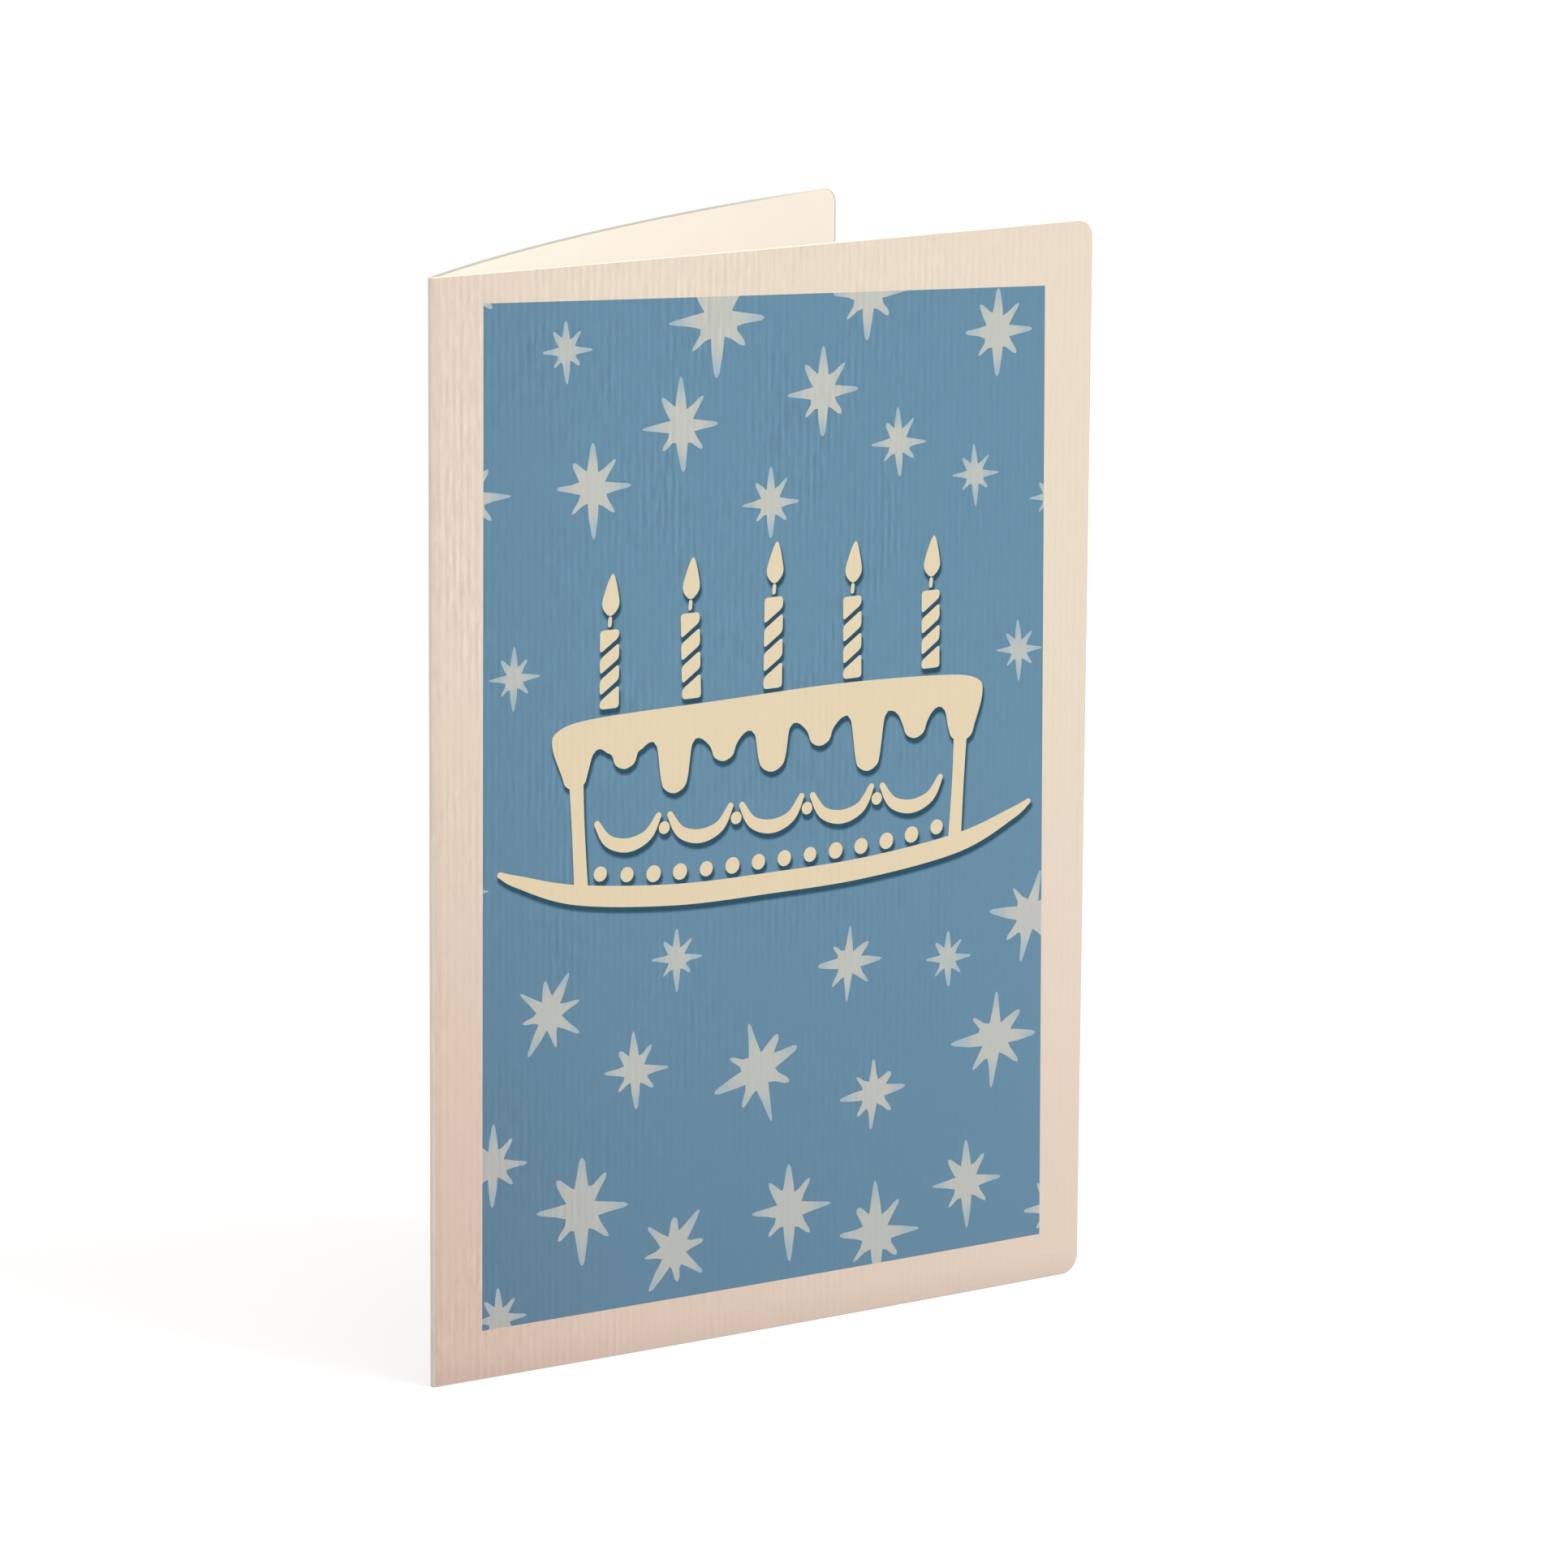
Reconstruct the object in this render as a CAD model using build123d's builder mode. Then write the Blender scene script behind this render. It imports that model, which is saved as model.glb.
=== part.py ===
from build123d import *
import os
from math import radians

# A folded greeting card, standing half open on its bottom edges. Millimetres and degrees.
# +Z is up. The front leaf runs along +X from the fold, and its cover faces -Y.

# The flat sheet, before folding: two leaves side by side.
leaf_width = 127.0
leaf_height = 178.0
sheet_thickness = 0.5
corner_radius = 3.0
cut_edge_rounding = 0.15

# How the sheet stands: the angle left open at the fold, and how far each leaf turns over its width.
fold_inner_radius = 0.12
fold_open_angle = 36.6
front_curl_angle = 2.5
back_curl_angle = 19.7

# The fold's own arc at mid thickness, and what is left of each leaf beside it.
fold_turn_angle = 180 - fold_open_angle
fold_length = (fold_inner_radius + sheet_thickness / 2) * radians(fold_turn_angle)
leaf_run = leaf_width - fold_length / 2


def inner_radius(curl_angle):
    """Radius of the inner face of a leaf that turns by this many degrees over its width."""
    return leaf_run / radians(curl_angle) - sheet_thickness / 2


# The inner face in plan: from the front fore edge to the fold, round it and out along the back leaf.
with BuildLine() as inner_face:
    front_leaf = JernArc(
        start=(0, 0),
        tangent=Vector(-1, 0).rotate(Axis.Z, front_curl_angle / 2),
        radius=inner_radius(front_curl_angle),
        arc_size=-front_curl_angle,
    )
    fold = JernArc(
        start=front_leaf @ 1,
        tangent=front_leaf % 1,
        radius=fold_inner_radius,
        arc_size=-fold_turn_angle,
    )
    JernArc(
        start=fold @ 1,
        tangent=fold % 1,
        radius=inner_radius(back_curl_angle),
        arc_size=-back_curl_angle,
    )

# The sheet's section: that line thickened outwards, away from the space between the leaves.
with BuildSketch() as section:
    with BuildLine():
        add(inner_face.line)
        offset(amount=sheet_thickness, side=Side.LEFT, closed=True)
    make_face()
section_centre = section.sketch.bounding_box().center()

# The card: the section raised to the leaf height, with its bounding box centred over the origin.
with BuildPart() as card:
    with BuildSketch(Plane(origin=-section_centre)):
        add(section.sketch)
    extrude(amount=leaf_height)

    # The two fore edges have their corners rounded by a corner punch.
    fore_edges = card.faces().filter_by(GeomType.PLANE).filter_by(Axis.Z, reverse=True)
    fillet(fore_edges.edges().filter_by(Axis.Z, reverse=True), radius=corner_radius)

    # All the way round, the cut edge is slightly rounded on both sides of the sheet.
    across_sheet = card.edges().filter_by(GeomType.LINE).filter_by(Axis.Z, reverse=True)
    along_fold = card.edges().filter_by(Axis.Z).group_by(SortBy.LENGTH)[-1]
    fillet(card.edges() - across_sheet - along_fold, radius=cut_edge_rounding)

card.part.label = "card"
os.makedirs("parts", exist_ok=True)
export_step(card.part, "parts/card.step")
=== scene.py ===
import math
import random

import bpy
import numpy as np
from mathutils import Matrix, Vector
from mathutils.geometry import delaunay_2d_cdt


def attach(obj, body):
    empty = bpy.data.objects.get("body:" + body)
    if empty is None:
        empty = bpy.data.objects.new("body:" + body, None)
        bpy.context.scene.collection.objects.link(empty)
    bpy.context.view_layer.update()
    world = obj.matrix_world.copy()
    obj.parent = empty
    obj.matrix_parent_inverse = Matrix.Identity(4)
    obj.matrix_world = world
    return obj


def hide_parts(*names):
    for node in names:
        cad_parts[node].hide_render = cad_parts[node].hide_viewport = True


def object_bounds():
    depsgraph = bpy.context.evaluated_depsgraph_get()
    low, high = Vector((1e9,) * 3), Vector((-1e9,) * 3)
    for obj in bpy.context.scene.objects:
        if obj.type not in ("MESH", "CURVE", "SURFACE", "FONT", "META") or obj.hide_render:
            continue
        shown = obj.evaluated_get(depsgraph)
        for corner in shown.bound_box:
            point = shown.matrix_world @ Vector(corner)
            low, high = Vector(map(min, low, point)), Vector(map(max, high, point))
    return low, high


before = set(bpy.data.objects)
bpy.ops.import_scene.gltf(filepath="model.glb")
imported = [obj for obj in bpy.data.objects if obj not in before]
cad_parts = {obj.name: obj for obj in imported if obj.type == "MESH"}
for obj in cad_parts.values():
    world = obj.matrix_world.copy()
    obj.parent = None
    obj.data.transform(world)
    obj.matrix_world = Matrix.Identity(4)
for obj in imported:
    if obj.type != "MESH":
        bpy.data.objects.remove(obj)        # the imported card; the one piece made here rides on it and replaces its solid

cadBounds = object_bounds()
mm = 0.001

# A point of the card is given on the flat sheet, in millimetres: u runs from the fold's middle along the
# front leaf (less than 0 is the back leaf), v runs up, and w goes out of the sheet on the cover's side.

foldedSheet = {
    "leafWidth": 127.0,
    "thickness": 0.5,
    "foldInnerRadius": 0.12,
    "openAngle": 36.6,       # degrees left open at the fold
    "frontCurl": 2.5,        # degrees that each leaf turns over its width
    "backCurl": 19.7,
    "cornerRadius": 3.0,     # corner punch
    "edgeRounding": 0.15,
    "shadeBandWidth": 0.2,      # band of painted shade on the inside, along the cut edge
    "foldSteps": 14,         # how finely the mesh follows each curve
    "leafSteps": 30,
    "cornerSteps": 8,
    "roundingSteps": 3,
    "mergeWithin": 1e-5,     # points closer than this become one
}

halfThickness = foldedSheet["thickness"] / 2
leafWidth = foldedSheet["leafWidth"]
leafHeight = (cadBounds[1][2] - cadBounds[0][2]) / mm
foldRadius = foldedSheet["foldInnerRadius"] + halfThickness
foldTurn = math.radians(180 - foldedSheet["openAngle"])
frontCurl = math.radians(foldedSheet["frontCurl"])
backCurl = math.radians(foldedSheet["backCurl"])
halfFold = foldRadius * foldTurn / 2
leafRun = leafWidth - halfFold

# Which way the cover's side of the sheet faces in plan, at both fore edges and both ends of the fold.
frontFacing = -math.pi / 2 - frontCurl / 2
backFacing = frontFacing - foldTurn
bendPlaces = [-leafWidth, -halfFold, halfFold, leafWidth]
bendFacings = [backFacing - backCurl, backFacing, frontFacing, frontFacing + frontCurl]


def unitVector(angle):
    return np.stack([np.cos(angle), np.sin(angle)], axis=-1)


# The three arcs of the section: back leaf, fold, front leaf. The frame's box says where they stand.
arcRadii = np.array([leafRun / backCurl, foldRadius, leafRun / frontCurl])
foldCentre = np.array([
    cadBounds[0][0] / mm + foldRadius + halfThickness,
    cadBounds[0][1] / mm + halfThickness + arcRadii[2] + (arcRadii[2] - foldRadius) * math.sin(frontFacing),
])
arcCentres = np.array([
    foldCentre + (foldRadius - arcRadii[0]) * unitVector(backFacing),
    foldCentre,
    foldCentre + (foldRadius - arcRadii[2]) * unitVector(frontFacing),
])


def foldSheet(flat):     # rows of u, v, w on the flat sheet to places in the frame, in metres
    u, v, w = flat.T
    arc = np.digitize(u, [-halfFold, halfFold])
    plan = arcCentres[arc] + (arcRadii[arc] + w)[:, None] * unitVector(np.interp(u, bendPlaces, bendFacings))
    return np.column_stack([plan, v]) * mm


def foldDirections(flat, directions):     # the same for directions, such as surface normals
    outward = unitVector(np.interp(flat[:, 0], bendPlaces, bendFacings))
    alongU, alongV, alongW = directions.T
    return np.column_stack([
        alongW * outward[:, 0] - alongU * outward[:, 1],
        alongW * outward[:, 1] + alongU * outward[:, 0],
        alongV,
    ])


# Lines drawn by hand: smooth curves through a few points, brush strokes and soft corners.

def smoothLine(points, closed=False, step=0.7):
    points = np.array(points, dtype=float)
    before, after = (points[-1:], points[:2]) if closed else (points[:1], points[-1:])
    row = np.vstack([before, points, after])
    line = []
    for a, b, c, d in zip(row, row[1:], row[2:], row[3:]):
        count = max(2, round(math.dist(b[:2], c[:2]) / step))
        for t in np.arange(count) / count:
            line.append(b + 0.5 * t * (c - a + t * (2 * a - 5 * b + 4 * c - d + t * (3 * (b - c) + d - a))))
    if not closed:
        line.append(points[-1])
    return np.array(line)


def brushStroke(points, capSteps=5):     # points are u, v and half the stroke's width
    line = smoothLine(points)
    middle, half = line[:, :2], line[:, 2:]
    along = np.gradient(middle, axis=0)
    along /= np.linalg.norm(along, axis=1)[:, None]
    across = np.column_stack([-along[:, 1], along[:, 0]])
    turns = np.linspace(-math.pi / 2, math.pi / 2, capSteps + 2)[1:-1, None]
    frontCap = middle[-1] + half[-1] * (np.cos(turns) * along[-1] + np.sin(turns) * across[-1])
    rearCap = middle[0] - half[0] * (np.cos(turns) * along[0] + np.sin(turns) * across[0])
    return np.vstack([middle - half * across, frontCap, (middle + half * across)[::-1], rearCap])


def softPolygon(corners, softness):
    corners = np.array(corners, dtype=float)
    outline = []
    for last, corner, after in zip(np.roll(corners, 1, axis=0), corners, np.roll(corners, -1, axis=0)):
        start = corner + softness * (last - corner) / math.dist(last, corner)
        stop = corner + softness * (after - corner) / math.dist(after, corner)
        outline += [start, (start + 2 * corner + stop) / 4, stop]
    return np.array(outline)


def disc(u, v, radius, steps=14):
    turns = np.arange(steps) / steps * math.tau
    return np.column_stack([u + radius * np.cos(turns), v + radius * np.sin(turns)])


def counterClockwise(outline):
    nextPoints = np.roll(outline, -1, axis=0)
    area = (outline[:, 0] * nextPoints[:, 1] - outline[:, 1] * nextPoints[:, 0]).sum()
    return outline if area > 0 else outline[::-1]


def grown(outline, by):     # the outline moved outwards
    edges = np.roll(outline, -1, axis=0) - outline
    edges /= np.linalg.norm(edges, axis=1)[:, None]
    corners = edges + np.roll(edges, 1, axis=0)
    corners /= np.linalg.norm(corners, axis=1)[:, None] + 1e-9
    return outline + by * np.column_stack([corners[:, 1], -corners[:, 0]])


def depthInside(points, outlines, reach=2.0):     # how far inside the nearest outline, less than 0 outside
    depth = np.full(len(points), -reach)
    for outline in outlines:
        close = np.all((points > outline.min(0) - reach) & (points < outline.max(0) + reach), axis=1)
        if not close.any():
            continue
        here = points[close][:, None]
        edges = np.roll(outline, -1, axis=0) - outline
        part = np.clip(((here - outline) * edges).sum(-1) / (edges ** 2).sum(-1), 0, 1)[..., None]
        gap = np.linalg.norm(here - outline - part * edges, axis=-1).min(1)
        rise = np.where(edges[:, 1] == 0, 1e-12, edges[:, 1])
        above = here[..., 1] - outline[:, 1]
        isLeft = here[..., 0] - outline[:, 0] < above * edges[:, 0] / rise
        crossed = ((above < 0) != (above < edges[:, 1])) & isLeft
        depth[close] = np.maximum(depth[close], np.where(crossed.sum(1) % 2 == 1, gap, -gap))
    return depth


# The cover's print: a blue field, eight-pointed stars cut off at its edges, and a birthday cake.

blueField = {     # its corners on the front leaf; the print is a little out of square
    "corners": [(8.95, 8.0), (118.9, 7.7), (117.3, 167.75), (9.4, 173.25)],
    "bleed": 2.0,     # how far past the field the stars' shapes may go before they are cut off
}

starPattern = {
    "seed": 11,
    "rays": [                # share of the star's reach, degrees of lean and breadth, round from the right
        (0.98, -2, 0.9), (0.80, 3, 1.0), (0.99, 1, 1.12), (0.76, -6, 1.3),
        (0.92, -2, 0.87), (0.70, 1, 0.85), (1.03, 1, 1.12), (0.74, 1, 1.05),
    ],
    # Each ray: how far along it, as a share of its length, and half its width there, as a share of the reach.
    "longRay": [(0.58, 0.102), (0.93, 0.047), (1.0, 0.015)],
    "shortRay": [(0.60, 0.087), (0.91, 0.050), (1.0, 0.016)],
    "valley": 0.36,          # the notches between rays, as a share of the reach
    "uneven": 0.07,          # how much the lengths of rays and notches stray
    "sway": 2.8,             # degrees by which rays stray
    "bluntness": 3.0,        # how much wider a ray that came out short ends
    "fullReach": 6.2,        # a smaller star has thinner ink
    "thickMiddle": 0.3,      # share of the reach within which the ink lies thickest
    "places": [              # u, v, reach, degrees turned
        (24.5, 164.6, 5.0, 0), (52.9, 167.5, 9.4, 0), (81.9, 169.4, 7.9, 0), (107.8, 161, 7.4, 0),
        (46, 150.9, 7.5, 0), (73.2, 154, 7.4, 0), (88.1, 144.6, 5.6, 0), (103.5, 137.9, 4.8, 0),
        (29.4, 142.3, 7.4, 0), (63.2, 137, 5.8, 0), (6.6, 142.8, 7.4, 0), (118.8, 132.8, 4.3, 0),
        (6.9, 175.4, 7.0, 10), (14.9, 113.4, 4.9, 0), (112.9, 107.9, 4.8, 0), (6, 80, 4.2, 0),
        (45.5, 64.4, 5.1, 0), (79.2, 59.5, 6.3, -90), (99.1, 57.6, 4.9, 0), (116, 62.9, 8.1, -101),
        (21.4, 58.2, 7.1, -33), (37.6, 46.9, 6.4, 0), (61.5, 43.8, 8.8, -72), (84.4, 36.9, 6.5, -90),
        (109, 42.8, 8.4, -90), (11, 34.9, 6.6, 0), (27.5, 25.3, 9.2, 0), (45.2, 16, 7.7, -39),
        (67.7, 19.4, 8.0, 0), (85.2, 13, 8.4, 0), (103.5, 19, 7.2, 0), (121.7, 12, 7.0, 0),
        (12.1, 9.5, 5.4, 0),
    ],
}


def starOutline(u, v, reach, turned, dice):
    rays, uneven = starPattern["rays"], starPattern["uneven"]
    strays = [[dice.uniform(-1, 1) for use in ("length", "sway", "valley")] for ray in rays]
    angles = [
        math.radians(turned + 360 / len(rays) * ray + lean + starPattern["sway"] * strays[ray][1])
        for ray, (share, lean, breadth) in enumerate(rays)
    ]
    outline = []
    for ray, (share, lean, breadth) in enumerate(rays):
        stray, dent = uneven * strays[ray][0], uneven * strays[ray][2]
        length, angle = reach * share * (1 + stray), angles[ray]
        tip = 1 - starPattern["bluntness"] * stray
        root, *rest = starPattern["shortRay" if ray % 2 else "longRay"]
        profile = [root] + [(place, half * tip) for place, half in rest]
        sides = [(place, -half * breadth) for place, half in profile]
        sides += [(place, half * breadth) for place, half in reversed(profile)]
        for place, half in sides:
            outline.append((
                u + length * place * math.cos(angle) - reach * half * math.sin(angle),
                v + length * place * math.sin(angle) + reach * half * math.cos(angle),
            ))
        gap = (angles[(ray + 1) % len(rays)] - angle) % math.tau     # close rays part further out
        valley = reach * starPattern["valley"] * (1 + dent) * math.tau / len(rays) / gap
        outline.append((u + valley * math.cos(angle + gap / 2), v + valley * math.sin(angle + gap / 2)))
    field = np.array(blueField["corners"])
    return np.clip(outline, field.min(0) - blueField["bleed"], field.max(0) + blueField["bleed"])


def starOutlines():
    dice = random.Random(starPattern["seed"])
    return [counterClockwise(starOutline(*place, dice)) for place in starPattern["places"]]


def starRings():     # lines cut into the sheet round each star's middle, where the ink lies thickest
    share, steps = starPattern["thickMiddle"], len(starPattern["rays"])
    return [disc(u, v, share * reach, steps) for u, v, reach, turned in starPattern["places"]]


def starFilm(points):     # how thick the ink lies: 1 at a star's middle, down to 0 at its tips
    film = np.zeros(len(points))
    for u, v, reach, turned in starPattern["places"]:
        middle = min(1, (reach / starPattern["fullReach"]) ** 2)
        film = np.maximum(film, middle * (1 - np.linalg.norm(points - (u, v), axis=1) / reach))
    return film


birthdayCake = {
    "seed": 5,
    "strays": {              # how far the hand strays: mm, but a share for the drips and the candles
        "plate": 0.15, "wall": 0.2, "drip": 0.02, "icing": 0.3, "swag": 0.25, "candle": 0.025,
    },
    "middle": 63.8,
    "plateReach": 51.5,      # from the middle to each tip
    "plateShares": (-1, -0.93, -0.72, -0.36, 0, 0.36, 0.72, 0.93, 1),     # of that, where the line is drawn
    "plateHeight": 74.6,
    "plateRise": 7.4,        # of each tip
    "plateCurve": 3.4,       # the power by which it rises
    "plateHalfWidth": 1.75,
    "plateTaper": (0.72, 7),     # how much thinner each tip is, and the power of that
    "wallReach": 37.4,
    "wallTop": 98.5,
    "wallFoot": 0.3,         # above the plate's line
    "icingReach": 41.8,
    "icingTop": 105.6,
    "icingFoot": 100.4,
    "icingCrown": [          # share of the reach, mm across and mm above the top, from the right
        (1, 0, -4.2), (1, -1.2, -1.6), (0.8, 0, -0.3), (0.3, 0, 0.5),
        (-0.25, 0, 0.2), (-0.8, 0, -0.2), (-1, 1.2, -1.5), (-1, 0, -4.0),
    ],
    "dripReach": 37.6,       # from the middle to the outermost drips
    "drips": [94.2, 96.6, 91.6, 95.8, 93.0, 96.2, 91.0, 95.4, 93.8],      # the height at which each one ends
    "dripShare": 0.27,       # half a drip's width, as a share of their pitch
    "dripForm": [(-1, 1), (-0.72, 0.32), (0, 0), (0.72, 0.32), (1, 1)],    # in half widths from its end
    "gapForm": [(0.36, -0.8), (0.5, 0), (0.64, -0.8)],       # share of the pitch, mm above the icing's foot
    "pearls": 14,
    "pearlRadius": 1.3,
    "pearlSizes": (0.93, 1.07),
    "pearlInset": 4.6,       # from the wall's line to the outermost
    "pearlGap": 0.8,         # above the plate
    "swags": 5,
    "swagInset": 2.9,
    "swagTop": 88.2,
    "swagDrop": 4.0,
    "beadRise": 2.0,         # of the beads between swags, above the swags' foot
    "beadRadius": 1.05,
    "candles": [119.4, 120.6, 121.6, 120.2, 119.6],                       # the height of each one's top
    "candleFoot": 1.1,       # above the icing
    "candleSpacing": 15.6,
    "candleHalfWidth": 1.8,
    "candleBands": 4,
    "bandGap": 0.9,
    "bandSlant": 1.2,
    "bandSoftness": 0.6,
    "wick": [(0.0, 0.75, 0.34), (0.1, 1.8, 0.34)],       # u, v and half width, from the candle's top
    "flameFoot": (0.1, 2.2),
    "flameLean": 0.03,
    "flame": [(0.0, 0.0), (1.5, 1.3), (1.5, 3.2), (0.3, 6.8), (-1.3, 3.4), (-1.45, 1.4)],
}


def handStray(part, dice):
    return dice.uniform(-birthdayCake["strays"][part], birthdayCake["strays"][part])


def plateMiddle(reach):     # the height of the plate's line, so far from the cake's middle
    share = abs(reach / birthdayCake["plateReach"])
    return birthdayCake["plateHeight"] + birthdayCake["plateRise"] * share ** birthdayCake["plateCurve"]


def plateOutlines(dice):
    taper, power = birthdayCake["plateTaper"]
    stroke = []
    for share in birthdayCake["plateShares"]:
        reach = birthdayCake["plateReach"] * share
        half = birthdayCake["plateHalfWidth"] * (1 - taper * abs(share) ** power)
        stroke.append((birthdayCake["middle"] + reach, plateMiddle(reach) + handStray("plate", dice), half))
    return [brushStroke(stroke)]


def wallOutlines(dice):
    walls = []
    top, foot = birthdayCake["wallTop"], plateMiddle(birthdayCake["wallReach"]) + birthdayCake["wallFoot"]
    for side in (-1, 1):
        reach = birthdayCake["wallReach"] + handStray("wall", dice)
        # Each wall leans in a little towards its foot.
        stroke = [(reach, top, 1.4), (reach - 0.5, (top + foot) / 2, 1.2), (reach - 1.1, foot, 1.3)]
        walls.append(brushStroke([(birthdayCake["middle"] + side * u, v, half) for u, v, half in stroke]))
    return walls


def icingOutlines(dice):     # a band with rounded drips along its foot
    middle, reach, top = birthdayCake["middle"], birthdayCake["icingReach"], birthdayCake["icingTop"]
    drips = birthdayCake["drips"]
    pitch = 2 * birthdayCake["dripReach"] / (len(drips) - 1)
    outline = []
    for index, end in enumerate(drips):
        centre = middle + pitch * (index - (len(drips) - 1) / 2)
        half = pitch * (birthdayCake["dripShare"] + handStray("drip", dice))
        outline += [(centre + half * u, end + half * v) for u, v in birthdayCake["dripForm"]]
        if index < len(drips) - 1:
            valley = birthdayCake["icingFoot"] + handStray("icing", dice)
            outline += [(centre + share * pitch, valley + rise) for share, rise in birthdayCake["gapForm"]]
    for share, across, rise in birthdayCake["icingCrown"]:
        outline.append((middle + share * reach + across, top + rise))
    return [smoothLine(outline, closed=True)]


def pearlOutlines(dice):     # piped along the cake's foot
    count, radius = birthdayCake["pearls"], birthdayCake["pearlRadius"]
    pitch = 2 * (birthdayCake["wallReach"] - birthdayCake["pearlInset"]) / (count - 1)
    pearls = []
    for index in range(count):
        reach = pitch * (index - (count - 1) / 2)
        height = plateMiddle(reach) + birthdayCake["plateHalfWidth"] + radius + birthdayCake["pearlGap"]
        size = radius * dice.uniform(*birthdayCake["pearlSizes"])
        pearls.append(disc(birthdayCake["middle"] + reach, height, size))
    return pearls


def swagOutlines(dice):     # each swag is one brush stroke, and a bead sits between two
    middle, count = birthdayCake["middle"], birthdayCake["swags"]
    width = 2 * (birthdayCake["wallReach"] - birthdayCake["swagInset"]) / count
    top, drop = birthdayCake["swagTop"], birthdayCake["swagDrop"]
    outlines = []
    for index in range(count):
        centre = middle + width * (index - (count - 1) / 2)
        low = top - drop + handStray("swag", dice)
        outlines.append(brushStroke([
            (centre - 0.42 * width, top, 0.55),
            (centre - 0.27 * width, low + 1.1, 0.95),
            (centre, low, 1.15),
            (centre + 0.27 * width, low + 1.2, 0.95),
            (centre + 0.42 * width, top + 0.1, 0.55),
        ]))
        if index > 0:
            height = top - drop + birthdayCake["beadRise"]
            outlines.append(disc(centre - width / 2, height, birthdayCake["beadRadius"]))
    return outlines


def candleOutlines(dice):     # cut across by slanting gaps, each with its wick and flame
    count = len(birthdayCake["candles"])
    half, slant, gap = birthdayCake["candleHalfWidth"], birthdayCake["bandSlant"], birthdayCake["bandGap"]
    foot, bands = birthdayCake["icingTop"] + birthdayCake["candleFoot"], birthdayCake["candleBands"]
    flameSide, flameRise = birthdayCake["flameFoot"]
    outlines = []
    for index, top in enumerate(birthdayCake["candles"]):
        middle = birthdayCake["middle"] + birthdayCake["candleSpacing"] * (index - (count - 1) / 2)
        lean = handStray("candle", dice)
        pitch = (top - foot + gap) / bands
        for band in range(bands):
            low, high = foot + pitch * band, foot + pitch * (band + 1) - gap
            lowSlant, highSlant = slant * (band > 0), slant * (band < bands - 1)
            corners = [(-half, low - lowSlant), (half, low + lowSlant)]
            corners += [(half, high + highSlant), (-half, high - highSlant)]
            corners = [(middle + u + lean * (v - foot), v) for u, v in corners]
            outlines.append(softPolygon(corners, birthdayCake["bandSoftness"]))
        tip = middle + lean * (top - foot)
        outlines.append(brushStroke([(tip + u, top + v, width) for u, v, width in birthdayCake["wick"]]))
        flame = [
            (tip + flameSide + u + birthdayCake["flameLean"] * v, top + flameRise + v)
            for u, v in birthdayCake["flame"]
        ]
        outlines.append(smoothLine(flame, closed=True))
    return outlines


def cakeOutlines():
    dice = random.Random(birthdayCake["seed"])
    parts = (plateOutlines, wallOutlines, icingOutlines, pearlOutlines, swagOutlines, candleOutlines)
    return [counterClockwise(outline) for part in parts for outline in part(dice)]


printedShadow = {     # soft dark printing under the cake's edges
    "shift": (0.2, -0.82),
    "spread": 0.2,
    "softness": 0.3,
    "rings": (-0.3, -0.14, 0.0, 0.15, 0.31),
}


def shadowRings(outlines):     # lines cut into the sheet where the shadow's strength changes
    return [
        grown(outline, printedShadow["spread"] + by) + np.array(printedShadow["shift"])
        for outline in outlines
        for by in printedShadow["rings"]
    ]


def shadowStrength(points, outlines):
    depth = depthInside(points - np.array(printedShadow["shift"]), outlines) + printedShadow["spread"]
    share = np.clip(0.5 + depth / (2 * printedShadow["softness"]), 0, 1)
    return share * share * (3 - 2 * share)


# The card's one mesh: the flat sheet with the print's outlines cut into its cover side, then folded.

sheet = {"points": [], "normals": [], "faces": [], "finishes": [], "bakePlaces": []}

bakeLayout = {     # where each side lies in the square bake map: left, foot and share for each mm
    "frontCover": (0.012, 0.015, 0.00545),
    "backCover": (0.716, 0.015, 0.00177),
    "frontInside": (0.716, 0.3405, 0.00177),
    "backInside": (0.716, 0.666, 0.00177),
    "cutEdge": (0.953, 0.015, 0.00224),
    "cutEdgeWidth": 0.010,
    "cutEdgeGap": 0.010,
}

stations = np.concatenate([
    np.linspace(foldedSheet["cornerRadius"] - leafWidth, -halfFold, foldedSheet["leafSteps"]),
    np.linspace(-halfFold, halfFold, foldedSheet["foldSteps"] + 1)[1:-1],
    np.linspace(halfFold, leafWidth - foldedSheet["cornerRadius"], foldedSheet["leafSteps"]),
])


def cutLoop(inset):     # the sheet's outline, moved in from the cut edge: foot, fore edge, head, fore edge
    radius = foldedSheet["cornerRadius"]
    quarter = np.linspace(0, math.pi / 2, foldedSheet["cornerSteps"] + 1)
    turns = [quarter[1:] - math.pi / 2, quarter[:-1], quarter[1:] + math.pi / 2, quarter[:-1] + math.pi]
    sides = [(1, radius), (1, leafHeight - radius), (-1, leafHeight - radius), (-1, radius)]
    corners = [
        np.array([side * (leafWidth - radius), height]) + (radius - inset) * unitVector(turn)
        for (side, height), turn in zip(sides, turns)
    ]
    foot = np.column_stack([stations, np.full(len(stations), inset)])
    head = np.column_stack([stations[::-1], np.full(len(stations), leafHeight - inset)])
    return np.vstack([foot, corners[0], corners[1], head, corners[2], corners[3]])


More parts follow.
